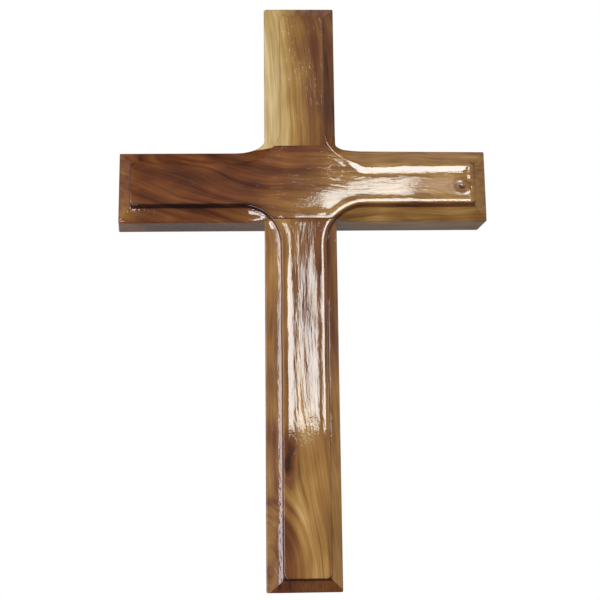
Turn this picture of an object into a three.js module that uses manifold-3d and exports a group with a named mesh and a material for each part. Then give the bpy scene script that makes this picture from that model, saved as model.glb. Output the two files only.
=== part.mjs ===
// Olive wood wall cross, in millimetres: +Z is up, the front faces -Y and the back lies in the plane y = 0.
// Two boards are glued in a half lap. One raised field runs over both, with a sloped margin round it.
// The origin is on the back face, at the centre of the crossing.
import Module from 'manifold-3d';
import * as THREE from 'three';
import { mergeVertices } from 'three/addons/utils/BufferGeometryUtils.js';

const wasm = await Module();
wasm.setup();

// Boards
const postAboveArm = 80;
const postBelowArm = 183;
const postWidth = 37;
const armWidth = 37;
const armLength = 190;
const postOffset = -1.5;
const edgeThickness = 20.5;

// How much further the arm's left end reaches at the back than at the front
const leftEndFlare = 3.6;

// Raised field and its sloped margin
const fieldRise = 7.5;
const marginWidth = 7;
const marginRise = 5;
const coveRadius = 1.2;
const shoulderRadius = 1.7;
const fieldArcRadius = 20;
const fieldCornerRadius = 3;
const cornerSharpening = 1.5;

// Outline fillets where the post meets the top of the arm
const leftFilletReach = 16;
const leftFilletRise = 6.5;
const rightFilletReach = 10;
const rightFilletRise = 3;

// Half lap: how much of the post runs on behind the arm, and how far the arm's stock stands above its edge
const lapThickness = 14;
const seamRise = 1.3;

// Hanger plate on the back of the post
const hangerDrop = 36;
const hangerLength = 30;
const hangerHeight = 8;
const hangerThickness = 0.8;
const hangerPadLength = 6.5;
const hangerRampLength = 2;
const hangerStandoff = 1.6;
const toothPitch = 2;
const toothGapWidth = 1.8;
const toothDepth = 1.3;

// Hanger nails
const nailShankRadius = 0.7;
const nailHeadRadius = 1.7;
const nailCrownRadius = 1.2;
const nailHeadHeight = 0.6;
const nailLength = 11;
const nailPointLength = 2;
const nailHoleClearance = 0.3;
const nailEndClearance = 0.5;

// Mesh fineness
const arcSteps = 12;
const cornerSteps = 4;
const coveSteps = 3;
const shoulderSteps = 4;
const nailSides = 20;
const smallestRadius = 0.2;
const cutOverrun = 1;

// Lines that several pieces share
const armTop = armWidth / 2;
const armBottom = -armWidth / 2;
const crossTop = armTop + postAboveArm;
const crossFoot = armBottom - postBelowArm;
const postLeft = postOffset - postWidth / 2;
const postRight = postOffset + postWidth / 2;
const seamTop = armTop + seamRise;
const fullThickness = edgeThickness + fieldRise;
const hangerCentre = crossTop - hangerDrop;
const nailSpread = hangerLength / 2 - hangerPadLength / 2;

function toSolid(geometry) {
  const bare = geometry.clone();
  bare.deleteAttribute('normal');
  bare.deleteAttribute('uv');
  const merged = mergeVertices(bare);
  return new wasm.Manifold(new wasm.Mesh({
    numProp: 3,
    vertProperties: new Float32Array(merged.attributes.position.array),
    triVerts: new Uint32Array(merged.index.array),
  }));
}

function toGeometry(solid) {
  const mesh = solid.getMesh();
  const geometry = new THREE.BufferGeometry();
  geometry.setAttribute('position', new THREE.BufferAttribute(mesh.vertProperties, 3));
  geometry.setIndex(new THREE.BufferAttribute(mesh.triVerts, 1));
  geometry.computeVertexNormals();
  return geometry;
}

function boxSolid(low, high) {
  const size = new THREE.Vector3().subVectors(high, low);
  const centre = new THREE.Vector3().addVectors(low, high).multiplyScalar(0.5);
  const box = new THREE.BoxGeometry(size.x, size.y, size.z);
  box.translate(centre.x, centre.y, centre.z);
  return toSolid(box);
}

// Points of an arc in the board's plane, with angles in degrees
function arcPoints(x, z, radius, from, to, steps) {
  const points = [];
  for (let i = 0; i <= steps; i += 1) {
    const angle = THREE.MathUtils.degToRad(from + (to - from) * i / steps);
    points.push(new THREE.Vector2(x + radius * Math.cos(angle), z + radius * Math.sin(angle)));
  }
  return points;
}

// The field's outline moved outwards by outset, anticlockwise seen from the front
function fieldOutline(outset) {
  const side = postWidth / 2 - marginWidth + outset;
  const end = armLength / 2 - marginWidth + outset;
  const top = crossTop - marginWidth + outset;
  const foot = crossFoot + marginWidth - outset;
  const armHigh = armTop - marginWidth + outset;
  const armLow = armBottom + marginWidth - outset;
  const hollow = Math.max(fieldArcRadius - outset, smallestRadius);
  const rounding = outset > 0 ? -cornerSharpening * outset : outset;
  const corner = Math.max(fieldCornerRadius + rounding, smallestRadius);
  const right = [
    ...arcPoints(side - corner, foot + corner, corner, -90, 0, cornerSteps),
    ...arcPoints(side + hollow, armLow - hollow, hollow, 180, 90, arcSteps),
    ...arcPoints(end - corner, armLow + corner, corner, -90, 0, cornerSteps),
    ...arcPoints(end - corner, armHigh - corner, corner, 0, 90, cornerSteps),
    ...arcPoints(side + hollow, armHigh + hollow, hollow, 270, 180, arcSteps),
    ...arcPoints(side - corner, top - corner, corner, 0, 90, cornerSteps),
  ];
  const left = right.map((point) => new THREE.Vector2(-point.x, point.y)).reverse();
  return [...right, ...left];
}

// Outset and rise of each ring of the front, from the margin's outer edge to the field
function frontProfile() {
  const slope = marginRise / marginWidth;
  const reach = marginWidth + Math.abs(postOffset) + leftFilletRise;
  const coveHeight = marginRise - slope * coveRadius + coveRadius * Math.hypot(1, slope);
  const coveStart = 270 - THREE.MathUtils.radToDeg(Math.atan(slope));
  const shoulderBase = fieldRise - shoulderRadius;
  return [
    new THREE.Vector2(reach, marginRise - slope * reach),
    ...arcPoints(coveRadius, coveHeight, coveRadius, coveStart, 180, coveSteps),
    ...arcPoints(-shoulderRadius, shoulderBase, shoulderRadius, 0, 90, shoulderSteps),
  ];
}

// The front surface over a flat back, before its sides are cut to the boards' outline
function panelSolid() {
  const profile = frontProfile();
  const rings = [{ outset: profile[0].x, y: 0 }];
  profile.forEach((point) => rings.push({ outset: point.x, y: -edgeThickness - point.y }));
  const outlines = rings.map((ring) => fieldOutline(ring.outset));
  const count = outlines[0].length;
  const positions = [];
  rings.forEach((ring, r) => {
    outlines[r].forEach((point) => positions.push(point.x, ring.y, point.y));
  });
  const faces = [];
  for (let r = 0; r < rings.length - 1; r += 1) {
    for (let i = 0; i < count; i += 1) {
      const next = (i + 1) % count;
      const a = r * count + i;
      const b = r * count + next;
      const c = (r + 1) * count + next;
      const d = (r + 1) * count + i;
      faces.push(a, b, c, a, c, d);
    }
  }
  const last = (rings.length - 1) * count;
  THREE.ShapeUtils.triangulateShape(outlines[0], []).forEach(([a, b, c]) => faces.push(a, c, b));
  THREE.ShapeUtils.triangulateShape(outlines.at(-1), []).forEach(([a, b, c]) => {
    faces.push(last + a, last + b, last + c);
  });
  const geometry = new THREE.BufferGeometry();
  geometry.setAttribute('position', new THREE.Float32BufferAttribute(positions, 3));
  geometry.setIndex(faces);
  return toSolid(geometry);
}

// A shape in the board's plane, extruded from the back towards the front
function towardsFront(shape, depth) {
  const geometry = new THREE.ExtrudeGeometry(shape, { depth, bevelEnabled: false, curveSegments: 8 });
  geometry.rotateX(Math.PI / 2);
  return geometry;
}

// The boards' outline: square corners below the arm, a fillet on each side above it
function outlineSolid() {
  const shape = new THREE.Shape();
  shape.moveTo(postLeft, crossFoot);
  shape.lineTo(postRight, crossFoot);
  shape.lineTo(postRight, armBottom);
  shape.lineTo(armLength / 2, armBottom);
  shape.lineTo(armLength / 2, armTop);
  shape.absellipse(postRight + rightFilletReach, armTop + rightFilletRise, rightFilletReach,
    rightFilletRise, -Math.PI / 2, -Math.PI, true);
  shape.lineTo(postRight, crossTop);
  shape.lineTo(postLeft, crossTop);
  shape.absellipse(postLeft - leftFilletReach, armTop + leftFilletRise, leftFilletReach,
    leftFilletRise, 0, -Math.PI / 2, true);
  shape.lineTo(-armLength / 2, armTop);
  shape.lineTo(-armLength / 2, armBottom);
  shape.lineTo(postLeft, armBottom);
  shape.closePath();
  const geometry = towardsFront(shape, fullThickness + 2 * cutOverrun);
  geometry.translate(0, cutOverrun, 0);
  return toSolid(geometry);
}

// The arm's left end is sawn out of square
function leftEndSolid() {
  const end = -armLength / 2;
  const shape = new THREE.Shape();
  shape.moveTo(end - leftEndFlare, 0);
  shape.lineTo(end, -edgeThickness);
  shape.lineTo(end + cutOverrun, -edgeThickness);
  shape.lineTo(end + cutOverrun, 0);
  shape.closePath();
  const geometry = new THREE.ExtrudeGeometry(shape, { depth: armWidth, bevelEnabled: false });
  geometry.translate(0, 0, armBottom);
  return toSolid(geometry);
}

// What the arm takes of the cross: its whole width, except for the post behind the lap
function armZone() {
  const slab = boxSolid(
    new THREE.Vector3(-armLength / 2 - leftEndFlare - cutOverrun, -fullThickness - cutOverrun, armBottom),
    new THREE.Vector3(armLength / 2 + cutOverrun, cutOverrun, seamTop),
  );
  const behindLap = boxSolid(
    new THREE.Vector3(postLeft, -lapThickness, armBottom - cutOverrun),
    new THREE.Vector3(postRight, 2 * cutOverrun, seamTop + cutOverrun),
  );
  return slab.subtract(behindLap);
}

// A solid turned about the Y axis from a profile of radius and distance behind the back face
function turned(profile, x, z) {
  const geometry = new THREE.LatheGeometry(profile, nailSides);
  geometry.translate(x, 0, z);
  return geometry;
}

function nailHole(x) {
  const radius = nailShankRadius + nailHoleClearance;
  const depth = nailLength - hangerThickness + nailEndClearance;
  const profile = [
    new THREE.Vector2(0, -depth),
    new THREE.Vector2(radius, -depth),
    new THREE.Vector2(radius, hangerThickness + cutOverrun),
    new THREE.Vector2(0, hangerThickness + cutOverrun),
  ];
  return toSolid(turned(profile, x, hangerCentre));
}

function nailGeometry(x) {
  const seat = hangerThickness;
  const tip = seat - nailLength;
  const profile = [
    new THREE.Vector2(0, tip),
    new THREE.Vector2(nailShankRadius, tip + nailPointLength),
    new THREE.Vector2(nailShankRadius, seat),
    new THREE.Vector2(nailHeadRadius, seat),
    new THREE.Vector2(nailCrownRadius, seat + nailHeadHeight),
    new THREE.Vector2(0, seat + nailHeadHeight),
  ];
  return turned(profile, x, hangerCentre);
}

// The hanger's strip seen from above: two pads on the wood and a raised bridge between them
function hangerStrip() {
  const half = hangerLength / 2;
  const foot = half - hangerPadLength;
  const crown = foot - hangerRampLength;
  const line = [
    new THREE.Vector2(half, 0),
    new THREE.Vector2(foot, 0),
    new THREE.Vector2(crown, hangerStandoff),
    new THREE.Vector2(-crown, hangerStandoff),
    new THREE.Vector2(-foot, 0),
    new THREE.Vector2(-half, 0),
  ];
  const back = line.map((point) => new THREE.Vector2(point.x, point.y + hangerThickness)).reverse();
  const shape = new THREE.Shape([...line, ...back]);
  const geometry = new THREE.ExtrudeGeometry(shape, { depth: hangerHeight, bevelEnabled: false });
  geometry.translate(postOffset, 0, hangerCentre - hangerHeight / 2);
  return toSolid(geometry);
}

// Notches between the teeth, cut up into the bridge's lower edge
function toothCuts() {
  const bridge = hangerLength - 2 * hangerPadLength - 2 * hangerRampLength;
  const count = Math.max(1, Math.floor(bridge / toothPitch));
  const base = hangerCentre - hangerHeight / 2;
  const cuts = [];
  for (let i = 0; i < count; i += 1) {
    const x = postOffset + (i - (count - 1) / 2) * toothPitch;
    const shape = new THREE.Shape();
    shape.moveTo(x - toothGapWidth / 2, base - cutOverrun);
    shape.lineTo(x + toothGapWidth / 2, base - cutOverrun);
    shape.lineTo(x, base + toothDepth);
    shape.closePath();
    const geometry = towardsFront(shape, hangerStandoff + hangerThickness + 2 * cutOverrun);
    geometry.translate(0, hangerStandoff + hangerThickness + cutOverrun, 0);
    cuts.push(toSolid(geometry));
  }
  return cuts;
}

function hangerSolid(holes) {
  let plate = hangerStrip();
  toothCuts().forEach((cut) => { plate = plate.subtract(cut); });
  holes.forEach((hole) => { plate = plate.subtract(hole); });
  return plate;
}

const postWood = new THREE.MeshStandardMaterial({ color: 0xa67c45, roughness: 0.28, metalness: 0 });
const armWood = new THREE.MeshStandardMaterial({ color: 0x7e5330, roughness: 0.28, metalness: 0 });
const plateSteel = new THREE.MeshStandardMaterial({ color: 0xb8a878, roughness: 0.4, metalness: 0.9 });
const nailSteel = new THREE.MeshStandardMaterial({ color: 0xb8a878, roughness: 0.35, metalness: 0.9 });

const cross = new THREE.Group();

function addPiece(name, geometry, material) {
  const mesh = new THREE.Mesh(geometry, material);
  mesh.name = name;
  cross.add(mesh);
}

const blank = panelSolid().intersect(outlineSolid()).add(leftEndSolid());
const armSpace = armZone();
const nailPlaces = { left: postOffset - nailSpread, right: postOffset + nailSpread };
const holes = Object.values(nailPlaces).map(nailHole);

let post = blank.subtract(armSpace);
holes.forEach((hole) => { post = post.subtract(hole); });

addPiece('post', toGeometry(post), postWood);
addPiece('arm', toGeometry(blank.intersect(armSpace)), armWood);
addPiece('hanger_plate', toGeometry(hangerSolid(holes)), plateSteel);
Object.entries(nailPlaces).forEach(([side, x]) => {
  addPiece(`hanger_nail_${side}`, nailGeometry(x), nailSteel);
});

export default cross;
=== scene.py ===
"""Olive wood wall cross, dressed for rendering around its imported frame.

Metres, +Z up, the front faces -Y. The materials work out the wood's figure in millimetres.
"""
import math

import bmesh
import bpy
import numpy as np
from mathutils import Matrix, Vector, noise
from mathutils.geometry import delaunay_2d_cdt


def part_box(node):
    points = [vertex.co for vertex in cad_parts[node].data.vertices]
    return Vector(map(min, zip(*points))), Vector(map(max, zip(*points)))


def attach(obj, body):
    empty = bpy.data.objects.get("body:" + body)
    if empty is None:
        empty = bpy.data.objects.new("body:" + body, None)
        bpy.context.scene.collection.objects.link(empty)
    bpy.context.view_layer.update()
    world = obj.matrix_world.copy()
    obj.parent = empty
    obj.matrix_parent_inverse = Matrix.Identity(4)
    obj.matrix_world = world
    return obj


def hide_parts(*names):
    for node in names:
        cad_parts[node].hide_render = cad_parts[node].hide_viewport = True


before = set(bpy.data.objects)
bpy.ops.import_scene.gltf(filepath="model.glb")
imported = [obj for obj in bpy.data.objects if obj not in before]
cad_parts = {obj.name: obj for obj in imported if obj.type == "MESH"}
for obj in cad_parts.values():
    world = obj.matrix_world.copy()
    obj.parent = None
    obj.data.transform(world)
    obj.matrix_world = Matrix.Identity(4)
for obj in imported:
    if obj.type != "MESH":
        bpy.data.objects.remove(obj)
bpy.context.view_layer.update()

MM = 0.001

# Sizes that the frame gives
arm_low, arm_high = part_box("arm")
post_low, post_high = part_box("post")
ARM_HALF = arm_high.x
ARM_BOTTOM = arm_low.z
SEAM_TOP = arm_high.z
TOP = post_high.z
FOOT = post_low.z
FULL_THICKNESS = -arm_low.y
LEFT_END_FLARE = -arm_low.x - ARM_HALF

# Sizes of the boards, their raised field and its margin
POST_WIDTH = 37 * MM
POST_OFFSET = -1.5 * MM
LAP_THICKNESS = 14 * MM
FIELD_RISE = 7.5 * MM
MARGIN_WIDTH = 7 * MM
MARGIN_RISE = 5 * MM
MARGIN_HOLLOW = 0.15 * MM
ARC_HOLLOW = 0.2 * MM
COVE_RADIUS = 1.2 * MM
FIELD_ARC_RADIUS = 20 * MM
FIELD_CORNER_RADIUS = 3 * MM

# Fillets where the post meets the top of the arm: reach along the arm and rise up the post
LEFT_FILLET = (16 * MM, 6.5 * MM)
RIGHT_FILLET = (5 * MM, 2.6 * MM)

# The arm's top edge on the right climbs towards the post
TOP_EDGE_RISE = 1.2 * MM
TOP_EDGE_END_RISE = 0.3 * MM

# The field's edge: a gentle roll, then a tight turn into the wall, with a low ridge inside the roll
TURN_RADIUS = 1.2 * MM
ROLL_WIDTH = 1.55 * MM
ROLL_END = 15
FLAT_WIDTH = 0.2 * MM
FLAT_TILT = 37.5
UPPER_ROLL = 0.1
UPPER_ROLL_START = 6 * MM
UPPER_ROLL_FADE = 8 * MM
UPPER_ROLL_STOP = 6 * MM
RIDGE_HEIGHT = 0.07 * MM
RIDGE_WIDTH = 3 * MM

# How much the upper roll narrows, by how squarely the edge faces right or up
FACING_START = 0.8
FACING_FADE = 0.15
FACING_ELSEWHERE = 0.5

# The arm's upper field edge is sanded back further, and the post's field leans a little below the arm
SANDED_WIDTH = 8 * MM
SANDED_DROP = 1.0 * MM
SANDED_START = 20 * MM
SANDED_FADE = 11 * MM
SANDED_BLEND = 6 * MM
LEAN_SLOPE = 0.014
LEAN_PLACE = -32 * MM
LEAN_LENGTH = 14 * MM

# Soft edges that sanding and lacquer leave
ARRIS_RADIUS = 0.6 * MM
ARRIS_MOST_SHARE = 0.3
COVE_MOST_SHARE = 0.5
BACK_EDGE_RADIUS = 0.6 * MM
BOARD_CORNER_RADIUS = 0.6 * MM
END_STRETCH = 10 * MM
ARM_PROUD = 0.12 * MM
SEAM_RIDGE = 0.07 * MM
SEAM_RIDGE_PLACE = 2.5 * MM
SEAM_RIDGE_FADE = 8 * MM
HANGER_EDGE = 0.12 * MM

# Seams between the boards: distances from the seam and how deep the edge is rounded over there
SOFT_EASE = [(1.3 * MM, 0), (0.8 * MM, 0.03 * MM), (0.3 * MM, 0.09 * MM), (0, 0.22 * MM)]
CRISP_EASE = [(0.25 * MM, 0), (0, 0.15 * MM)]
SEAM_REACH = 4 * MM
SEAM_OVERRUN = 6 * MM
BACK_DEPTH = 2 * MM
LEAST_FACING = 0.3

# Hand-made play in the surfaces
FIELD_WAVE = 0.14 * MM
FIELD_WAVE_LENGTHS = (34 * MM, 11 * MM)
FINE_FIELD_WAVE = 0.3
EDGE_WAVE = 0.22 * MM
EDGE_WAVE_LENGTHS = (16 * MM, 6 * MM)
FINE_EDGE_WAVE = 0.4
WAVE_FADE = 2 * MM
SURFACE_SEED = 3

# From the darkest wood to the palest
PALETTE = [
    (0.00, "#2a130a"), (0.15, "#4b2714"), (0.30, "#693c1f"), (0.45, "#82552b"),
    (0.60, "#9d713a"), (0.75, "#b68d52"), (0.88, "#caa76f"), (1.00, "#dfc28f"),
]

# Lacquer, and the wood under it
LACQUER_ROUGHNESS = 0.04
LACQUER_INDEX = 1.6
WOOD_GLOSS = 0.15

# Places of the knots, a ring mark and the flame at the foot, in millimetres: x and z
ARM_KNOT = (81, -2)
RING_MARK = (16, 6)
POST_KNOT = (-8, -137.5)
FLAME = (-17.6, -191.5)

# Light levels, and in metres where the lamps and the floor are
AMBIENT_ABOVE = 0.27
AMBIENT_BELOW = 0.12
ROOM_MIRRORED = 0.03
SIDES_MIRRORED = 0.2
ZENITH_MIRRORED = 0.35
WINDOW_DISTANCE = 5
SIDE_DISTANCE = 4
LOW_DISTANCE = 1.5
OVERHEAD_DISTANCE = 3
FLOOR_LEVEL = -1.4

# Mesh fineness
LINE_SPACING = 1.0 * MM
FIELD_SPACING = 0.9 * MM
EDGE_GAP = 0.8 * MM
FLAT_START = 0.3 * MM
WALL_STEP = 0.03 * MM
ARC_STEPS = 30
CORNER_STEPS = 12
BOARD_CORNER_STEPS = 4
LEFT_FILLET_STEPS = 16
RIGHT_FILLET_STEPS = 12
ROLL_POINTS = 5
UPPER_TURN_POINTS = 4
LOWER_TURN_POINTS = 6
COVE_SHARES = (0, 0.04, 0.15, 0.32, 0.55, 0.8)
MARGIN_SHARES = (0, 0.14, 0.28, 0.42, 0.57, 0.71, 0.86, 0.985, 1)
ARRIS_ANGLES = (22, 45, 67, 90)
SIDE_SHARES = (0.06, 0.25, 0.5, 0.75, 0.94)
BACK_EDGE_ANGLES = (0, 30, 60, 90)
SHARP_ANGLE = 38

# Limits below which numbers count as equal
LEAST_SHARE_STEP = 1e-4
LEAST_CROSS = 1e-12
SHARE_SLACK = 1e-6
MERGE_GAP = 1e-6

# The camera stands where the photographer stood
CAMERA_PLACE = Vector((-11.6, -421.0, -118.7)) * MM
CAMERA_AZIMUTH = -1.34
CAMERA_ELEVATION = -8.47
CAMERA_ROLL = -0.65
CAMERA_LENS = 47.93
CAMERA_SENSOR = 36

# Worked out from the sizes above
POST_LEFT = POST_OFFSET - POST_WIDTH / 2
POST_RIGHT = POST_OFFSET + POST_WIDTH / 2
ARM_TOP = -ARM_BOTTOM
EDGE_THICKNESS = FULL_THICKNESS - FIELD_RISE
SLOPE = (MARGIN_RISE + 4 * MARGIN_HOLLOW) / MARGIN_WIDTH
OUTER_SLOPE = (MARGIN_RISE - 4 * MARGIN_HOLLOW) / MARGIN_WIDTH
COVE_HEIGHT = MARGIN_RISE - SLOPE * COVE_RADIUS + COVE_RADIUS * math.hypot(1, SLOPE)
COVE_END = COVE_RADIUS * (1 - SLOPE / math.hypot(1, SLOPE))
TURN_WIDTH = TURN_RADIUS * (1 - math.sin(math.radians(ROLL_END)))
EDGE_WIDTH = TURN_WIDTH + FLAT_WIDTH * math.cos(math.radians(FLAT_TILT))
SHOULDER_WIDTH = EDGE_WIDTH + ROLL_WIDTH
FIELD_SIDE = POST_WIDTH / 2 - MARGIN_WIDTH
FIELD_HALF = ARM_TOP - MARGIN_WIDTH
FIELD_END = ARM_HALF - MARGIN_WIDTH
FIELD_TOP = TOP - MARGIN_WIDTH
FIELD_FOOT = FOOT + MARGIN_WIDTH


def turn_points(centre, radii, start, end, steps):
    """Points of a round or oval arc in the board's plane, with angles in degrees."""
    angles = np.radians(np.linspace(start, end, steps + 1))
    return [(centre[0] + radii[0] * math.cos(a), centre[1] + radii[1] * math.sin(a)) for a in angles]


def board_corners():
    """The boards' outline, anticlockwise seen from the front: one list of points for each corner."""
    r = BOARD_CORNER_RADIUS
    both = (r, r)
    steps = BOARD_CORNER_STEPS
    left, right = LEFT_FILLET, RIGHT_FILLET
    left_centre = (POST_LEFT - left[0], ARM_TOP + left[1])
    right_centre = (POST_RIGHT + right[0], ARM_TOP + TOP_EDGE_RISE + right[1])
    return [
        turn_points((POST_RIGHT - r, FOOT + r), both, -90, 0, steps),
        [(POST_RIGHT, ARM_BOTTOM)],
        turn_points((ARM_HALF - r, ARM_BOTTOM + r), both, -90, 0, steps),
        turn_points((ARM_HALF - r, ARM_TOP + TOP_EDGE_END_RISE - r), both, 0, 90, steps),
        turn_points(right_centre, right, 270, 180, RIGHT_FILLET_STEPS),
        turn_points((POST_RIGHT - r, TOP - r), both, 0, 90, steps),
        turn_points((POST_LEFT + r, TOP - r), both, 90, 180, steps),
        turn_points(left_centre, left, 0, -90, LEFT_FILLET_STEPS),
        turn_points((-ARM_HALF + r, ARM_TOP - r), both, 90, 180, steps),
        turn_points((-ARM_HALF + r, ARM_BOTTOM + r), both, 180, 270, steps),
        [(POST_LEFT, ARM_BOTTOM)],
        turn_points((POST_LEFT + r, FOOT + r), both, 180, 270, steps),
    ]


def field_corners():
    """The corners of the field's wall line, in the same order as board_corners."""
    return [
        (FIELD_SIDE, FIELD_FOOT), (FIELD_SIDE, -FIELD_HALF), (FIELD_END, -FIELD_HALF),
        (FIELD_END, FIELD_HALF), (FIELD_SIDE, FIELD_HALF), (FIELD_SIDE, FIELD_TOP),
        (-FIELD_SIDE, FIELD_TOP), (-FIELD_SIDE, FIELD_HALF), (-FIELD_END, FIELD_HALF),
        (-FIELD_END, -FIELD_HALF), (-FIELD_SIDE, -FIELD_HALF), (-FIELD_SIDE, FIELD_FOOT),
    ]


def corner_rays(before, corner, after, aims):
    """Points on one rounded corner of the wall line, and the outward direction at each."""
    way_in = (corner - before) / np.linalg.norm(corner - before)
    way_out = (after - corner) / np.linalg.norm(after - corner)
    first = np.array((way_in[1], -way_in[0]))
    last = np.array((way_out[1], -way_out[0]))
    convex = way_in[0] * way_out[1] - way_in[1] * way_out[0] > 0
    if convex:
        centre = corner - FIELD_CORNER_RADIUS * (first + last)
        radius, sign, steps = FIELD_CORNER_RADIUS, 1, CORNER_STEPS
    else:
        centre = corner + FIELD_ARC_RADIUS * (first + last)
        radius, sign, steps = FIELD_ARC_RADIUS, -1, ARC_STEPS
    turn = math.pi / 2 * sign
    shares = list(np.linspace(0, 1, steps + 1))
    for aim in aims:
        towards = (np.array(aim) - centre) * sign
        towards /= np.linalg.norm(towards)
        angle = math.atan2(first[0] * towards[1] - first[1] * towards[0], float(first @ towards))
        if 0 < angle / turn < 1:
            shares.append(angle / turn)
    apart = []
    for share in sorted(shares):
        if not apart or share - apart[-1] > LEAST_SHARE_STEP:
            apart.append(share)
    rays = []
    for share in apart:
        c, s = math.cos(turn * share), math.sin(turn * share)
        way = np.array((c * first[0] - s * first[1], s * first[0] + c * first[1]))
        rays.append((centre + sign * radius * way, way))
    return rays


def wall_rays():
    """Points all along the wall line of the field, and the outward direction at each."""
    corners = [np.array(c) for c in field_corners()]
    boards = board_corners()
    rounded = []
    for i, corner in enumerate(corners):
        before = corners[i - 1]
        after = corners[(i + 1) % len(corners)]
        rounded.append(corner_rays(before, corner, after, boards[i]))
    rays = []
    for i, corner in enumerate(rounded):
        rays += corner
        start, way = corner[-1]
        end = rounded[(i + 1) % len(rounded)][0][0]
        steps = max(2, round(float(np.linalg.norm(end - start)) / LINE_SPACING))
        rays += [(start + (end - start) * k / steps, way) for k in range(1, steps)]
    points = np.array([p for p, _ in rays])
    ways = np.array([w for _, w in rays])
    return points, ways


def reach_to_edge(points, ways):
    """How far each ray runs from the wall line to the boards' outline."""
    outline = np.array([p for corner in board_corners() for p in corner])
    along = np.roll(outline, -1, axis=0) - outline
    reach = np.full(len(points), np.inf)
    for start, side in zip(outline, along):
        cross = ways[:, 0] * side[1] - ways[:, 1] * side[0]
        cross = np.where(np.abs(cross) < LEAST_CROSS, LEAST_CROSS, cross)
        gap = start - points
        distance = (gap[:, 0] * side[1] - gap[:, 1] * side[0]) / cross
        share = (gap[:, 0] * ways[:, 1] - gap[:, 1] * ways[:, 0]) / cross
        hit = (distance > 0) & (share > -SHARE_SLACK) & (share < 1 + SHARE_SLACK)
        reach = np.where(hit & (distance < reach), distance, reach)
    return reach


def inside_arcs(points):
    """How far points lie within the lines through the centres of the field's four inner arcs."""
    x = np.abs(points[:, 0])
    z = points[:, 1]
    post = np.maximum(x - FIELD_SIDE, np.maximum(z - FIELD_TOP, FIELD_FOOT - z))
    arm = np.maximum(np.abs(z) - FIELD_HALF, x - FIELD_END)
    return np.maximum(FIELD_ARC_RADIUS - post, 0), np.maximum(FIELD_ARC_RADIUS - arm, 0)


def outset_at(points):
    """Distance outside the wall line at points of the board's plane, mitred at the outer corners."""
    return FIELD_ARC_RADIUS - np.hypot(*inside_arcs(points))


def slope_height(points):
    """Rise of the margin's slope at points of the board's plane; it is more hollow along the arcs."""
    post, arm = inside_arcs(points)
    bend = 2 * post * arm / np.maximum(post**2 + arm**2, 1e-9)
    outset = outset_at(points)
    share = np.clip(outset / MARGIN_WIDTH, 0, 1)
    return slope_at(outset) - 4 * ARC_HOLLOW * bend * share * (1 - share)


def slope_at(outset):
    """Rise of the margin's slope at a distance outside the wall; a little hollow."""
    share = outset / MARGIN_WIDTH
    hollow = 4 * MARGIN_HOLLOW * np.clip(share, 0, 1) * (1 - share)
    return MARGIN_RISE * (1 - share) - hollow


def ridge_at(outset):
    """Rise of the field over its middle: a low ridge runs along its edge."""
    share = np.clip((outset + SHOULDER_WIDTH + RIDGE_WIDTH) / RIDGE_WIDTH, 0, 1)
    return RIDGE_HEIGHT * share * share * (3 - 2 * share)


def sanded_at(points, outset):
    """How far the field falls away towards its upper edge along the arm."""
    share = np.clip((outset + SANDED_WIDTH) / SANDED_WIDTH, 0, 1)
    along = np.clip((np.abs(points[:, 0]) - SANDED_START) / SANDED_FADE, 0, 1)
    upper = np.clip(points[:, 1] / SANDED_BLEND + 0.5, 0, 1)
    return SANDED_DROP * share**2 * along * upper


def lean_at(points):
    """How far the post's field leans forward towards its right side, just below the arm."""
    along = (points[:, 1] - LEAN_PLACE) / LEAN_LENGTH
    return LEAN_SLOPE * points[:, 0] * np.exp(-along**2) * (points[:, 1] < ARM_BOTTOM)


def shoulder_points():
    """Outset and rise along the field's edge, from the ridge down to the wall."""
    roll_radius = ROLL_WIDTH / math.sin(math.radians(ROLL_END))
    points = [(-SHOULDER_WIDTH - FLAT_START, 0)]
    for angle in np.radians(np.linspace(0, ROLL_END, ROLL_POINTS)):
        out = roll_radius * math.sin(angle) - SHOULDER_WIDTH
        points.append((out, roll_radius * (math.cos(angle) - 1)))
    tilt = math.radians(FLAT_TILT)
    flat = (FLAT_WIDTH * math.cos(tilt), FLAT_WIDTH * math.sin(tilt))
    base = points[-1][1] - TURN_RADIUS * math.cos(math.radians(ROLL_END))
    for angle in np.radians(np.linspace(ROLL_END, FLAT_TILT, UPPER_TURN_POINTS))[1:]:
        out = TURN_RADIUS * (math.sin(angle) - 1)
        points.append((out - flat[0], base + TURN_RADIUS * math.cos(angle)))
    for angle in np.radians(np.linspace(FLAT_TILT, 90, LOWER_TURN_POINTS)):
        out = TURN_RADIUS * (math.sin(angle) - 1)
        points.append((out, base - flat[1] + TURN_RADIUS * math.cos(angle)))
    return points


def roll_share(points, ways):
    """The roll's share of its full width: it narrows above, most where the edge faces right or up."""
    above = np.clip((points[:, 1] - UPPER_ROLL_START) / UPPER_ROLL_FADE, 0, 1)
    above = above * (points[:, 0] < FIELD_END - UPPER_ROLL_STOP)
    facing = np.clip((ways.max(axis=1) - FACING_START) / FACING_FADE, FACING_ELSEWHERE, 1)
    return 1 - (1 - UPPER_ROLL) * above * facing


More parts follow.
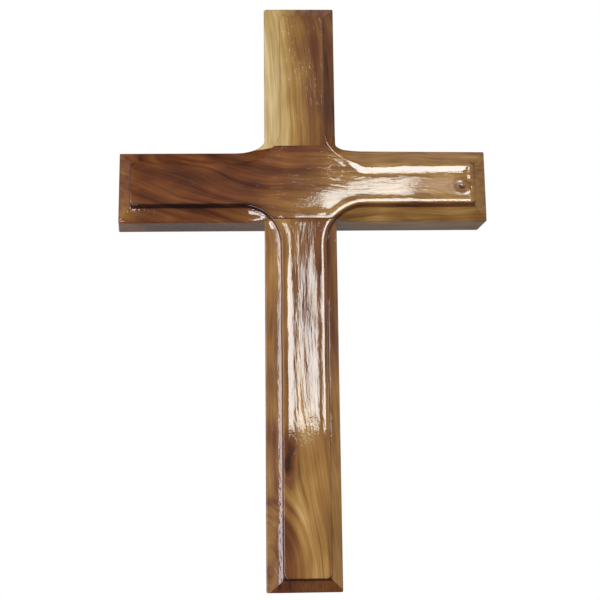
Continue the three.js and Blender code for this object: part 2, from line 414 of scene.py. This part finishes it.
def front_rows(points, ways, reach):
    """Rows of points from the field over the margin to the arris: outset and rise of each."""
    arris = np.minimum(ARRIS_RADIUS, reach * ARRIS_MOST_SHARE)
    inner = reach - arris
    cove_end = np.minimum(COVE_END, inner * COVE_MOST_SHARE)
    rows = []
    roll = roll_share(points, ways)
    shoulder = shoulder_points()
    for i, (out, up) in enumerate(shoulder):
        inside = np.minimum(out + EDGE_WIDTH, 0) * (roll - 1) + out
        flat = points + ways * inside[:, None]
        least = COVE_HEIGHT + WALL_STEP * (len(shoulder) - i)
        rows.append((inside, np.maximum(FIELD_RISE + up - sanded_at(flat, inside), least)))
    nominal_end = slope_at(cove_end)
    lift = slope_height(points + ways * cove_end[:, None]) - nominal_end
    for share in COVE_SHARES:
        out = cove_end * share
        up = COVE_HEIGHT - np.sqrt(COVE_RADIUS**2 - (out - COVE_RADIUS) ** 2)
        rows.append((out, up + lift))
    for share in MARGIN_SHARES:
        out = cove_end + (inner - cove_end) * share
        rows.append((out, slope_height(points + ways * out[:, None])))
    edge = slope_height(points + ways * inner[:, None])
    for angle in np.radians(ARRIS_ANGLES):
        out = inner + arris * math.sin(angle)
        up = edge - arris * (1 - math.cos(angle)) - OUTER_SLOPE * arris * math.sin(angle)
        rows.append((out, up))
    return rows


def wave(x, z, length, seed):
    """Smooth noise over the board's plane, about -1 to 1."""
    return noise.noise(Vector((x / length, z / length, seed)))


def surface_wave(points, seed):
    """How far the surface stands proud of the drawing at points of the board's plane."""
    broad_length, fine_length = FIELD_WAVE_LENGTHS
    heights = []
    for x, z in points:
        broad = wave(x, z, broad_length, seed)
        fine = wave(x, z, fine_length, seed + 5)
        heights.append(FIELD_WAVE * (broad + FINE_FIELD_WAVE * fine))
    return np.array(heights) + lean_at(points)


def edge_wave(points, seed):
    """How far the wall line strays from the drawing."""
    broad_length, fine_length = EDGE_WAVE_LENGTHS
    strays = []
    for x, z in points:
        broad = wave(x, z, broad_length, seed + 9)
        fine = wave(x, z, fine_length, seed + 13)
        strays.append(broad + FINE_EDGE_WAVE * fine)
    return EDGE_WAVE * np.array(strays)


def fill_field(ring):
    """Points and triangles inside a closed line of points in the board's plane."""
    count = len(ring)
    low = ring.min(0)
    high = ring.max(0)
    inside = []
    for x in np.arange(low[0], high[0], FIELD_SPACING):
        inside += [(x, z) for z in np.arange(low[1], high[1], FIELD_SPACING)]
    inside = np.array(inside)
    inside = inside[outset_at(inside) < -SHOULDER_WIDTH - EDGE_GAP]
    vertices = [Vector(p) for p in ring] + [Vector(p) for p in inside]
    edges = [(i, (i + 1) % count) for i in range(count)]
    filled = delaunay_2d_cdt(vertices, edges, [], 1, 1e-7)
    points = np.array([tuple(v) for v in filled[0]])
    return points, [tuple(f) for f in filled[2]]


def front_layers(points, ways, reach, seed, proud):
    """Rings of points over the front, from the field's edge to the arris."""
    layers = []
    for out, up in front_rows(points, ways, reach):
        flat = points + ways * out[:, None]
        fade = np.clip((reach - out) / WAVE_FADE, 0, 1)
        rise = up + surface_wave(flat, seed) * fade + proud * fade
        layers.append(np.column_stack((flat[:, 0], -EDGE_THICKNESS - rise, flat[:, 1])))
    return layers


def side_layers(rim, ways, edge_y):
    """Rings of points down the sides and round the back edge; the arm's left end flares to the back."""
    near_left_end = np.clip((END_STRETCH - ARM_HALF - rim[:, 0]) / END_STRETCH, 0, 1)
    layers = []
    for share in SIDE_SHARES:
        y = edge_y * (1 - share) - BACK_EDGE_RADIUS * share
        x = rim[:, 0] - LEFT_END_FLARE * near_left_end * share
        layers.append(np.column_stack((x, y, rim[:, 1])))
    for angle in np.radians(BACK_EDGE_ANGLES):
        back = rim - ways * BACK_EDGE_RADIUS * (1 - math.cos(angle))
        y = np.full(len(rim), -BACK_EDGE_RADIUS * (1 - math.sin(angle)))
        x = back[:, 0] - LEFT_END_FLARE * near_left_end
        layers.append(np.column_stack((x, y, back[:, 1])))
    return layers


def cross_mesh(name, seed, proud):
    """Both boards in one closed mesh, before the lap parts them."""
    points, ways = wall_rays()
    points = points + ways * edge_wave(points, seed)[:, None]
    reach = reach_to_edge(points, ways)
    layers = front_layers(points, ways, reach, seed, proud)
    layers += side_layers(points + ways * reach[:, None], ways, layers[-1][:, 1])
    mesh = bmesh.new()
    grid = [[mesh.verts.new(p) for p in layer] for layer in layers]
    count = len(points)
    for upper, lower in zip(grid, grid[1:]):
        for i in range(count):
            k = (i + 1) % count
            mesh.faces.new((upper[i], lower[i], lower[k], upper[k]))
    close_with(mesh, grid[0], layers[0], lambda p: field_depth(p, seed, proud))
    close_with(mesh, grid[-1], layers[-1], lambda p: np.zeros(len(p)))
    bmesh.ops.recalc_face_normals(mesh, faces=mesh.faces)
    data = bpy.data.meshes.new(name)
    mesh.to_mesh(data)
    mesh.free()
    return data


def field_depth(points, seed, proud):
    """The y of the field's surface inside its edge."""
    outset = outset_at(points)
    height = FULL_THICKNESS - RIDGE_HEIGHT + ridge_at(outset) - sanded_at(points, outset)
    return -height - proud - surface_wave(points, seed) - (seam_ridge(points) if proud else 0)


def seam_ridge(points):
    """The arm's lacquer stands in a low ridge above its lower seam."""
    share = np.clip((ARM_BOTTOM + SEAM_RIDGE_PLACE + RIDGE_WIDTH - points[:, 1]) / RIDGE_WIDTH, 0, 1)
    across = np.clip((FIELD_SIDE + SEAM_RIDGE_FADE / 2 - np.abs(points[:, 0])) / SEAM_RIDGE_FADE, 0, 1)
    return SEAM_RIDGE * share * share * (3 - 2 * share) * across


def close_with(mesh, ring, layer, depth):
    """Fills a ring of the mesh with a fine surface whose y comes from depth."""
    count = len(ring)
    flat, faces = fill_field(layer[:, [0, 2]])
    inner = flat[count:]
    new = [mesh.verts.new((x, y, z)) for (x, z), y in zip(inner, depth(inner))]
    verts = list(ring) + new
    for face in faces:
        mesh.faces.new([verts[i] for i in face])


def prism(points, back, front):
    """A closed block: an outline in the board's plane, given anticlockwise from the front."""
    mesh = bmesh.new()
    near = [mesh.verts.new((x, -front, z)) for x, z in points]
    far = [mesh.verts.new((x, -back, z)) for x, z in points]
    mesh.faces.new(near)
    mesh.faces.new(far[::-1])
    for i in range(len(points)):
        k = (i + 1) % len(points)
        mesh.faces.new((near[k], near[i], far[i], far[k]))
    data = bpy.data.meshes.new("block")
    mesh.to_mesh(data)
    mesh.free()
    return data


def shaped(name, data):
    """An object for a mesh, in the scene."""
    item = bpy.data.objects.new(name, data)
    bpy.context.collection.objects.link(item)
    return item


def cut(shape, cutter, operation):
    """Carries one boolean step out on the shape's mesh."""
    modifier = shape.modifiers.new("cut", "BOOLEAN")
    modifier.operation = operation
    modifier.object = cutter
    modifier.solver = "EXACT"
    evaluated = shape.evaluated_get(bpy.context.evaluated_depsgraph_get())
    data = bpy.data.meshes.new_from_object(evaluated)
    shape.modifiers.clear()
    shape.data = data


def arm_zone():
    """The space that belongs to the arm: its own height, without the post behind the lap."""
    beyond = 40 * MM
    side = ARM_HALF + beyond
    below = ARM_BOTTOM - beyond
    zone = shaped("zone", prism([
        (POST_LEFT, ARM_BOTTOM), (POST_LEFT - beyond, below), (-side, below), (-side, SEAM_TOP),
        (side, SEAM_TOP), (side, below), (POST_RIGHT + beyond, below), (POST_RIGHT, ARM_BOTTOM),
    ][::-1], -beyond, FULL_THICKNESS + beyond))
    behind = shaped("behind", prism([
        (POST_LEFT, below), (POST_RIGHT, below), (POST_RIGHT, SEAM_TOP + beyond),
        (POST_LEFT, SEAM_TOP + beyond),
    ], -2 * beyond, LAP_THICKNESS))
    cut(zone, behind, "DIFFERENCE")
    bpy.data.objects.remove(behind)
    return zone


def ease_seam(mesh, axis, place, facing, covers, ease):
    """Rounds a board's edge over where it meets the other board, leaving a hairline between them."""
    normal = Vector((0, 0, 0))
    normal[axis] = 1
    for width, _ in ease[:-1]:
        for side in (-1, 1):
            at = normal * (place + side * width)
            faces = [f for f in mesh.faces if all(covers(v.co) for v in f.verts)]
            parts = set(faces)
            for f in faces:
                parts.update(f.edges)
                parts.update(f.verts)
            bmesh.ops.bisect_plane(mesh, geom=list(parts), plane_co=at, plane_no=normal)
    mesh.normal_update()
    widths = [w for w, _ in ease][::-1]
    depths = [d for _, d in ease][::-1]
    moves = []
    for v in mesh.verts:
        gap = abs(v.co[axis] - place)
        lies_in_face = any(f.normal.dot(facing) > LEAST_FACING for f in v.link_faces)
        if gap < widths[-1] and covers(v.co) and lies_in_face:
            moves.append((v, float(np.interp(gap, widths, depths))))
    for v, depth in moves:
        v.co -= facing * depth


def near_front_seam(place):
    """Whether a point lies on the front near one of the seams that cross the post."""
    def covers(p):
        across_post = POST_LEFT - SEAM_OVERRUN < p.x < POST_RIGHT + SEAM_OVERRUN
        return abs(p.z - place) < SEAM_REACH and across_post and p.y < -LAP_THICKNESS
    return covers


def near_back_seam(place):
    """Whether a point lies on the back near one of the seams beside the post."""
    def covers(p):
        return abs(p.x - place) < SEAM_REACH and abs(p.z) < ARM_TOP + MM and p.y > -BACK_DEPTH
    return covers


def finish_board(item, node, front_seams):
    """Eases the seams of a board and lets it stand for its solid."""
    mesh = bmesh.new()
    mesh.from_mesh(item.data)
    front = Vector((0, -1, 0))
    for place, ease in front_seams:
        ease_seam(mesh, 2, place, front, near_front_seam(place), ease)
    for place in (POST_LEFT, POST_RIGHT):
        ease_seam(mesh, 0, place, -front, near_back_seam(place), CRISP_EASE)
    bmesh.ops.dissolve_degenerate(mesh, edges=mesh.edges, dist=MERGE_GAP)
    mesh.to_mesh(item.data)
    mesh.free()
    item.data.shade_smooth()
    item.data.set_sharp_from_angle(angle=math.radians(SHARP_ANGLE))
    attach(item, "root")
    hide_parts(node)


def make_boards():
    """The two boards, parted along the lap."""
    zone = arm_zone()
    arm = shaped("arm_board", cross_mesh("arm_board", SURFACE_SEED, ARM_PROUD))
    cut(arm, zone, "INTERSECT")
    post = shaped("post_board", cross_mesh("post_board", SURFACE_SEED, 0))
    cut(post, zone, "DIFFERENCE")
    bpy.data.objects.remove(zone)
    finish_board(arm, "arm", [(SEAM_TOP, CRISP_EASE), (ARM_BOTTOM, SOFT_EASE)])
    finish_board(post, "post", [(ARM_BOTTOM, SOFT_EASE)])
    return arm, post


class Value:
    """A number that a node gives, with plain arithmetic."""

    def __init__(self, tree, socket):
        self.tree = tree
        self.socket = socket

    def __add__(self, other):
        return self.tree.maths("ADD", self, other)

    __radd__ = __add__

    def __sub__(self, other):
        return self.tree.maths("SUBTRACT", self, other)

    def __rsub__(self, other):
        return self.tree.maths("SUBTRACT", other, self)

    def __mul__(self, other):
        return self.tree.maths("MULTIPLY", self, other)

    __rmul__ = __mul__

    def __truediv__(self, other):
        return self.tree.maths("DIVIDE", self, other)

    def __neg__(self):
        return self * -1


class Tree:
    """A material's nodes, wired by short calls that take numbers or Values."""

    def __init__(self, owner):
        owner.use_nodes = True
        self.owner = owner
        self.nodes = owner.node_tree.nodes
        self.links = owner.node_tree.links

    def feed(self, socket, value):
        """Links a Value to a socket, or sets the socket to a plain value."""
        if isinstance(value, Value):
            self.links.new(value.socket, socket)
        else:
            socket.default_value = value

    def node(self, kind, inputs, **settings):
        """A new node with its inputs fed; gives its first output."""
        made = self.nodes.new(kind)
        for key, value in settings.items():
            setattr(made, key, value)
        for key, value in inputs.items():
            self.feed(made.inputs[key], value)
        return Value(self, made.outputs[0])

    def maths(self, operation, *values):
        """One step of arithmetic."""
        return self.node("ShaderNodeMath", dict(enumerate(values)), operation=operation)

    def upright(self):
        """How far the surface faces upwards, -1 to 1."""
        made = self.nodes.new("ShaderNodeNewGeometry")
        split = self.nodes.new("ShaderNodeSeparateXYZ")
        self.links.new(made.outputs["Normal"], split.inputs[0])
        return Value(self, split.outputs[2])

    def place(self):
        """Where the shaded point is, in millimetres: x, height over the back, z."""
        made = self.nodes.new("ShaderNodeTexCoord")
        split = self.nodes.new("ShaderNodeSeparateXYZ")
        self.links.new(made.outputs["Object"], split.inputs[0])
        x, y, z = (Value(self, socket) * 1000 for socket in split.outputs)
        return x, -y, z

    def noise(self, x, y, z, detail=2.0):
        """Noise of about -1 to 1 at a point."""
        point = self.node("ShaderNodeCombineXYZ", {0: x, 1: y, 2: z})
        inputs = {"Vector": point, "Scale": 1.0, "Detail": detail}
        return self.node("ShaderNodeTexNoise", inputs) * 4 - 2

    def step(self, value, start, end):
        """Rises smoothly from 0 to 1 while value goes from start to end."""
        inputs = {"Value": value, "From Min": start, "From Max": end}
        return self.node("ShaderNodeMapRange", inputs, interpolation_type="SMOOTHSTEP")

    def bell(self, value, centre, width):
        """1 at centre, fading on both sides."""
        far = (value - centre) / width
        return self.maths("EXPONENT", -(far * far))

    def root(self, value):
        """The square root."""
        return self.maths("SQRT", value)

    def ramp(self, value, stops):
        """A colour from evenly blended stops of place and colour."""
        made = self.nodes.new("ShaderNodeValToRGB")
        elements = made.color_ramp.elements
        while len(elements) < len(stops):
            elements.new(0.5)
        for element, (place, shade) in zip(elements, stops):
            element.position = place
            element.color = colour(shade)
        self.feed(made.inputs[0], value)
        return Value(self, made.outputs[0])

    def bump(self, height):
        """A normal for heights given in millimetres."""
        return self.node("ShaderNodeBump", {"Height": height, "Distance": MM, "Strength": 1.0})


def colour(code):
    """Linear colour for a six-digit sRGB code."""
    parts = [int(code[i:i + 2], 16) / 255 for i in (1, 3, 5)]
    return [p / 12.92 if p < 0.04045 else ((p + 0.055) / 1.055) ** 2.4 for p in parts] + [1]


def streaks(tree, grain, width, length, seed, detail=2.0):
    """Noise drawn out along the grain."""
    across, along, deep = grain
    return tree.noise(across / width, along / length + seed, deep / (3 * width) + seed, detail)


def wood_shader(tree, grain, tone, redness, brushed, marks=0.0):
    """Fills a wood material's shader from its grain, tone and redness.

    brushed says how strongly brush marks show in the lacquer; marks adds height in millimetres.
    """
    x, height, z = tree.place()
    fine = streaks(tree, grain, 0.9, 28, 3.1, 3.0)
    pores = tree.step(streaks(tree, grain, 0.35, 9, 5.7), 0.55, 0.95)
    lines = tree.step(streaks(tree, grain, 1.5, 55, 4.4, 3.0), 0.15, 0.9)
    # Painted shade along the field's wall, strongest where the surface faces down, together with a dark
    # stain along the routed wall; there is less of it above the arm
    facing_down_shade = tree.step(tree.upright(), 0.35, -0.5)
    wall_stain_and_shade = tree.step(height, 24.9, 25.3) * (1 - tree.step(height - 1.9 * facing_down_shade, 26.0, 26.5)) * facing_down_shade
    wall_stain_and_shade_strength = 0.28 - 0.2 * tree.step(z, 20, 24)
    # Painted shade: the wood grows darker towards the back of the boards
    back_shade = 1 - tree.step(height, 0, 19)
    tone = tone + 0.06 * fine - 0.10 * pores - 0.12 * lines - wall_stain_and_shade_strength * wall_stain_and_shade - 0.12 * back_shade
    shares = {0: 1 + 0.02 * redness, 1: 1 - 0.14 * redness, 2: 1 - 0.2 * redness}
    tint = tree.node("ShaderNodeCombineXYZ", shares)
    plain = tree.ramp(tone, PALETTE)
    shade = tree.node("ShaderNodeVectorMath", {0: plain, 1: tint}, operation="MULTIPLY")
    lumps = streaks(tree, grain, 3.2, 26, 7.9)
    strokes = streaks(tree, grain, 1.6, 14, 1.3)
    ripple = streaks(tree, grain, 0.8, 5, 2.3)
    skin = tree.noise(*(g / 1.2 for g in grain))
    frost = tree.noise(*(g / 0.4 for g in grain), 1.0)
    beads = tree.noise(x / 1.4, height / 1.4, z / 2.4, 1.0) * tree.bell(height, 24.9, 0.8)
    brushing = 0.012 * lumps + 0.008 * strokes + 0.004 * ripple + 0.0009 * frost
    brushed = brushed * (0.3 + 0.7 * tree.step(height, 25.5, 27))
    relief = brushing * brushed + 0.0016 * skin - 0.004 * pores + 0.014 * beads + marks
    normal = tree.bump(relief)
    shader = tree.nodes["Principled BSDF"]
    tree.feed(shader.inputs["Base Color"], shade)
    tree.feed(shader.inputs["Roughness"], 0.55 + 0.06 * fine + 0.1 * pores)
    tree.feed(shader.inputs["Normal"], normal)
    tree.feed(shader.inputs["Coat Normal"], normal)
    shader.inputs["Specular IOR Level"].default_value = WOOD_GLOSS
    shader.inputs["Coat Weight"].default_value = 1.0
    shader.inputs["Coat Roughness"].default_value = LACQUER_ROUGHNESS
    shader.inputs["Coat IOR"].default_value = LACQUER_INDEX


def arm_wood():
    """The arm's wood: dark reddish figure sweeping down from the left, golden to the right of the post."""
    tree = Tree(bpy.data.materials.new("arm wood"))
    x, height, z = tree.place()
    # The rings, swept down on the left and parted by the knot
    left = tree.maths("MINIMUM", x, 0)
    sweep = 0.38 * (tree.root(left * left + 25 * 25) - 25)
    warp = 2.2 * tree.noise(x / 40, z / 16, height / 20, 1.0)
    knot_x = x - ARM_KNOT[0]
    knot_z = z - ARM_KNOT[1]
    knot = knot_x * knot_x / 90 + knot_z * knot_z / 45
    parting = 1 - tree.maths("EXPONENT", -knot)
    ring = z * parting - sweep + warp + 0.45 * (height - 28)
    grain = (ring, x, height)
    cloud = tree.noise(x / 22, z / 12, height / 14)
    # The tone from dark on the left to golden on the right, with dark rings and soft clouds
    tone = 0.32 + 0.18 * (1 - tree.step(x, -93, -80)) + 0.27 * tree.step(x - 0.5 * z, -40, 40)
    dark = 0.11 * tree.bell(ring, -5, 1.8) + 0.08 * tree.bell(ring, -16, 2.6)
    dark = dark + 0.09 * tree.bell(ring, -28.5, 2.2) + 0.11 * tree.bell(ring, 4, 1.6)
    tone = tone - dark * (1 - tree.step(x, -10, 25))
    tone = tone + 0.07 * streaks(tree, grain, 3.6, 80, 0.4) + 0.06 * streaks(tree, grain, 1.3, 45, 1.9)
    # Darker band along the arm's top seam by the post: a dark joint line and painted shade along it
    tone = tone + 0.12 * cloud - 0.14 * tree.bell(z, 18.5, 2.5) * tree.bell(x, 0, 20)
    tone = tone + 0.07 * (1 - tree.step(z, -14, -11)) * (1 - tree.step(x, -20, 0))
    tone = tone - 0.07 * tree.step(x, 84, 90)
    # The knot's dark core and rim, and marks that stand out of the lacquer
    core = tree.root(knot_x * knot_x + knot_z * knot_z * 1.6)
    tone = tone - 0.45 * (1 - tree.step(core, 0.8, 2.4)) - 0.1 * tree.bell(core, 4.2, 0.8)
    redness = 0.9 - 1.2 * tree.step(x - 0.9 * z, -34, 24) + 0.3 * cloud
    mark_x = x - RING_MARK[0]
    mark_z = z - RING_MARK[1]
    spot = tree.root(mark_x * mark_x + mark_z * mark_z)
    broken = tree.step(tree.noise(x / 1.3, z / 1.3, height), -0.6, 0.6)
    marks = 0.01 * tree.bell(spot, 3.9, 0.5) * broken + 0.035 * tree.bell(core, 4.2, 1.3)
    marks = marks - 0.03 * tree.bell(core, 0, 1.4)
    brushed = 0.22 + 0.12 * tree.step(x, 18, 34) + 0.35 * tree.step(x, 46, 62)
    wood_shader(tree, grain, tone, redness, brushed, marks)
    return tree.owner


def post_wood():
    """The post's wood: pale on the left above the arm, golden below with a knot and dark flames."""
    tree = Tree(bpy.data.materials.new("post wood"))
    x, height, z = tree.place()
    # The rings, leaning at the top and parted by the knot and the flame
    rise = tree.maths("MAXIMUM", z - 50, 0)
    lean = rise * rise / 340
    warp = 1.3 * tree.noise(x / 14, z / 48, height / 20, 1.0)
    flame_x = x - FLAME[0]
    flame_z = z - FLAME[1]
    flame = flame_x * flame_x / (19 * 19) + flame_z * flame_z / (33 * 33)
    knot_x = x - POST_KNOT[0] + 0.9 * tree.noise(x / 4, z / 6, height / 4, 1.0)
    knot_z = z - POST_KNOT[1]
    knot = knot_x * knot_x / (3 * 3) + knot_z * knot_z / (9 * 9)
    parted = flame_x / tree.maths("MAXIMUM", flame, 1) + knot_x / tree.maths("MAXIMUM", knot, 1)
    within = 1 - tree.maths("MINIMUM", tree.root(flame), 1)
    ring = x + lean - parted - 19 * within + warp + 0.4 * (height - 28)
    grain = (ring, z, height)
    cloud = tree.noise(x / 9, z / 26, height / 14)
    # The tone above the arm, from pale on the left to brown on the right
    upper = 0.94 - 0.47 * tree.step(ring, -16, 3) - 0.16 * tree.step(ring, 0, 12)
    upper = upper + 0.08 * tree.step(ring, 11, 16)
    # The tone below the arm, with the flame and the shade beside the knot
    lower = 0.53 - 0.16 * tree.step(ring, -14, 0)
    lower = lower + 0.19 * tree.step(z, -70, -125) * tree.step(x, -9, -3)
    lower = lower - 0.24 * (1 - tree.step(flame, 0.6, 1.0)) * tree.step(x, -17, -10)
    lower = lower - 0.16 * tree.bell(flame, 1.02, 0.12)
    lower = lower + 0.04 * tree.step(x, 12, 15)
    lower = lower - 0.2 * tree.bell(z, -127, 8) * (1 - tree.step(x, -15, -11))
    # Both tones together, the knot, the grain's streaks and painted shade on the down-facing margin at the
    # foot
    low = 1 - tree.step(z, -30, 10)
    tone = upper + (lower - upper) * low
    tone = tone - 0.2 * (1 - tree.step(knot, 0, 1.2)) - 0.13 * (1 - tree.step(knot, 0.8, 4.5))
    tone = tone + 0.09 * streaks(tree, grain, 3.2, 90, 0.7) + 0.06 * streaks(tree, grain, 1.2, 50, 2.9)
    tone = tone + 0.10 * cloud
    # Painted shade: the margin at the foot that faces down is darkened
    foot = tree.step(z, -193, -194) * tree.step(tree.upright(), -0.3, -0.5)
    tone = tone + (0.28 - tone) * 0.75 * foot
    redness = 0.6 * (1 - tree.step(tone, 0.2, 0.55)) + 0.3 * cloud - 0.35 * (1 - low)
    streaky = 0.45 + 0.55 * tree.bell(x, -4.5, 4.5)
    wood_shader(tree, grain, tone, redness, 0.25 + 0.75 * low * streaky)
    return tree.owner


def brass():
    """Satin plated brass with rolling marks and a little tarnish."""
    tree = Tree(bpy.data.materials.new("plated brass"))
    x, height, z = tree.place()
    rolled = tree.noise(x / 6, height / 0.2, z / 0.15, 3.0)
    tarnish = tree.noise(x / 3, height / 3, z / 3, 4.0)
    shade = tree.ramp(0.5 + 0.25 * tarnish, [(0, "#8f7238"), (0.5, "#b8964e"), (1, "#cfae68")])
    shader = tree.nodes["Principled BSDF"]
    tree.feed(shader.inputs["Base Color"], shade)
    tree.feed(shader.inputs["Roughness"], 0.36 + 0.05 * rolled + 0.05 * tarnish)
    tree.feed(shader.inputs["Normal"], tree.bump(0.002 * rolled + 0.003 * tarnish))
    shader.inputs["Metallic"].default_value = 1.0
    return tree.owner


def dress(item, material):
    """Gives an object one material."""
    item.data.materials.clear()
    item.data.materials.append(material)


def dress_hanger():
    """Softens the edges of the hanger and its nails and gives them their metal."""
    metal = brass()
    for name in ("hanger_plate", "hanger_nail_left", "hanger_nail_right"):
        item = bpy.data.objects[name]
        dress(item, metal)
        bevel = item.modifiers.new("edges", "BEVEL")
        bevel.width = HANGER_EDGE
        bevel.segments = 2
        bevel.limit_method = "ANGLE"


def direction(azimuth, elevation):
    """A unit vector; azimuth turns from the front towards the right."""
    a, e = math.radians(azimuth), math.radians(elevation)
    return Vector((math.sin(a) * math.cos(e), -math.cos(a) * math.cos(e), math.sin(e)))


def panel(name, centre, across, along, radiance, tint):
    """A soft light: its middle, and the vectors from there to the middles of two of its sides."""
    data = bpy.data.lights.new(name, "AREA")
    data.shape = "RECTANGLE"
    data.color = tint
    data.size = 2 * across.length
    data.size_y = 2 * along.length
    data.energy = radiance * math.pi * data.size * data.size_y
    item = bpy.data.objects.new(name, data)
    right = across.normalized()
    up = along.normalized()
    turn = Matrix((right, up, right.cross(up))).transposed().to_4x4()
    item.matrix_world = Matrix.Translation(centre) @ turn
    item.visible_camera = False
    bpy.context.collection.objects.link(item)
    return item


def pane(name, left, right, low, high, radiance, tint):
    """One rectangle of the window in front, with its sides given as tangents of their angles."""
    centre = Vector(((left + right) / 2, -1, (low + high) / 2)) * WINDOW_DISTANCE
    across = Vector(((right - left) / 2, 0, 0)) * WINDOW_DISTANCE
    along = Vector((0, 0, (high - low) / 2)) * WINDOW_DISTANCE
    panel(name, centre, across, along, radiance, tint)


def strip(name, low, high, width, distance, radiance, tint):
    """A long light between two directions, turned towards the middle of the cross."""
    middle = (low + high).normalized()
    along = (high - low).normalized() * distance * math.tan(low.angle(high) / 2)
    across = along.cross(middle).normalized() * distance * math.tan(math.radians(width / 2))
    panel(name, middle * distance, across, along, radiance, tint)


def lights():
    """A window whose top edge climbs, strips of light on the left, right and overhead, and a ceiling."""
    white = (1, 1, 1)
    daylight = (0.97, 1, 0.96)
    cool = (0.95, 0.94, 1)
    warm = (1, 0.85, 0.75)
    sill, step_start, step_height = -0.03, 0.25, 0.0105
    pane("window curtain", 0.018, 0.042, sill, step_start, 10, daylight)
    pane("window sash", 0.042, 0.28, sill, step_start, 13, daylight)
    for i in range(7):
        low = step_start + step_height * i
        pane(f"window step {i}", 0.033 + 0.0037 * i * i, 0.178, low, low + step_height, 12, daylight)
    pane("window shade", 0.18, 0.27, 0.255, 0.312, 2.2, warm)
    strip("left strip top", direction(-78.7, 7.5), direction(-78.7, 13), 6.5, SIDE_DISTANCE, 8, cool)
    strip("left strip", direction(-77.9, -15.5), direction(-77.9, 7.5), 8.4, SIDE_DISTANCE, 6.5, cool)
    strip("left strip bend", direction(-68.5, -28), direction(-71.5, -15.5), 5, SIDE_DISTANCE, 12, cool)
    strip("left strip turn", direction(-57, -45), direction(-68.5, -28), 5, LOW_DISTANCE, 12, cool)
    strip("left strip foot", direction(-26, -56.5), direction(-57, -45), 3.6, LOW_DISTANCE, 11, cool)
    strip("right strip", direction(84, -3), direction(84, 7), 7, SIDE_DISTANCE, 4, white)
    strip("overhead", direction(12.7, 22.5), direction(12.7, 32.5), 12, OVERHEAD_DISTANCE, 14, white)
    strip("overhead end", direction(31, 17.6), direction(31, 23), 9, SIDE_DISTANCE, 11, white)
    ceiling = Vector((0, -0.9, 1.9))
    across = Vector((1.5, 0, 0))
    soft = panel("ceiling", ceiling, across, across.cross(ceiling).normalized() * -0.9, 1.2, white)
    soft.visible_glossy = False


def surroundings():
    """White behind for what sees it, a dim room in front for reflections, and even light."""
    world = bpy.data.worlds.new("room")
    bpy.context.scene.world = world
    tree = Tree(world)
    path = tree.nodes.new("ShaderNodeLightPath").outputs
    camera_ray, glossy_ray, through_ray = (
        Value(tree, path[name]) for name in ("Is Camera Ray", "Is Glossy Ray", "Is Transmission Ray")
    )
    coordinates = tree.nodes.new("ShaderNodeTexCoord").outputs["Generated"]
    split = tree.nodes.new("ShaderNodeSeparateXYZ")
    tree.links.new(coordinates, split.inputs[0])
    sideways = Value(tree, split.outputs[0])
    upwards = Value(tree, split.outputs[2])
    behind = tree.step(Value(tree, split.outputs[1]), 0.6, 0.85)
    behind = behind * (0.2 + 0.8 * tree.step(upwards, -0.12, 0.05))
    mirrored = ROOM_MIRRORED + (1 - ROOM_MIRRORED) * behind
    mirrored = mirrored + SIDES_MIRRORED * tree.step(tree.maths("ABSOLUTE", sideways), 0.75, 0.9)
    mirrored = mirrored + ZENITH_MIRRORED * tree.step(upwards, 0.9, 0.98) * tree.step(sideways, -0.1, 0.15)
    ambient = AMBIENT_BELOW + (AMBIENT_ABOVE - AMBIENT_BELOW) * tree.step(upwards, -0.6, 0.6)
    level = ambient + (1 - ambient) * tree.maths("MAXIMUM", camera_ray, through_ray)
    level = level + (mirrored - ambient) * glossy_ray
    background = tree.nodes["Background"]
    background.inputs["Color"].default_value = (1, 1, 1, 1)
    tree.feed(background.inputs["Strength"], level)


def floor():
    """A plain pale floor well below the hanging cross."""
    half = 1.5
    mesh = bmesh.new()
    corners = [(-half, -half), (half, -half), (half, half), (-half, half)]
    mesh.faces.new([mesh.verts.new((x, y, FLOOR_LEVEL)) for x, y in corners])
    data = bpy.data.meshes.new("floor")
    mesh.to_mesh(data)
    mesh.free()
    item = shaped("floor", data)
    tree = Tree(bpy.data.materials.new("floor"))
    x, height, z = tree.place()
    cloud = tree.noise(x / 90, height / 90, z / 90, 5.0)
    shade = tree.ramp(0.5 + 0.2 * cloud, [(0, "#e4e2de"), (1, "#efeeeb")])
    shader = tree.nodes["Principled BSDF"]
    tree.feed(shader.inputs["Base Color"], shade)
    shader.inputs["Roughness"].default_value = 0.8
    data.materials.append(tree.owner)
    item.visible_glossy = False


def camera():
    """The camera at the photographer's place."""
    back = direction(CAMERA_AZIMUTH, CAMERA_ELEVATION)
    side = Vector((0, 0, 1)).cross(back).normalized()
    up = back.cross(side)
    roll = math.radians(CAMERA_ROLL)
    right = math.cos(roll) * side + math.sin(roll) * up
    above = -math.sin(roll) * side + math.cos(roll) * up
    data = bpy.data.cameras.new("camera")
    data.sensor_width = CAMERA_SENSOR
    data.lens = CAMERA_LENS
    data.clip_start = 0.01
    data.clip_end = 50
    item = shaped("camera", data)
    turn = Matrix((right, above, back)).transposed().to_4x4()
    item.matrix_world = Matrix.Translation(CAMERA_PLACE) @ turn
    bpy.context.scene.camera = item


arm, post = make_boards()
dress(arm, arm_wood())
dress(post, post_wood())
dress_hanger()
floor()
lights()
surroundings()
camera()
bpy.context.scene.view_settings.view_transform = "Standard"
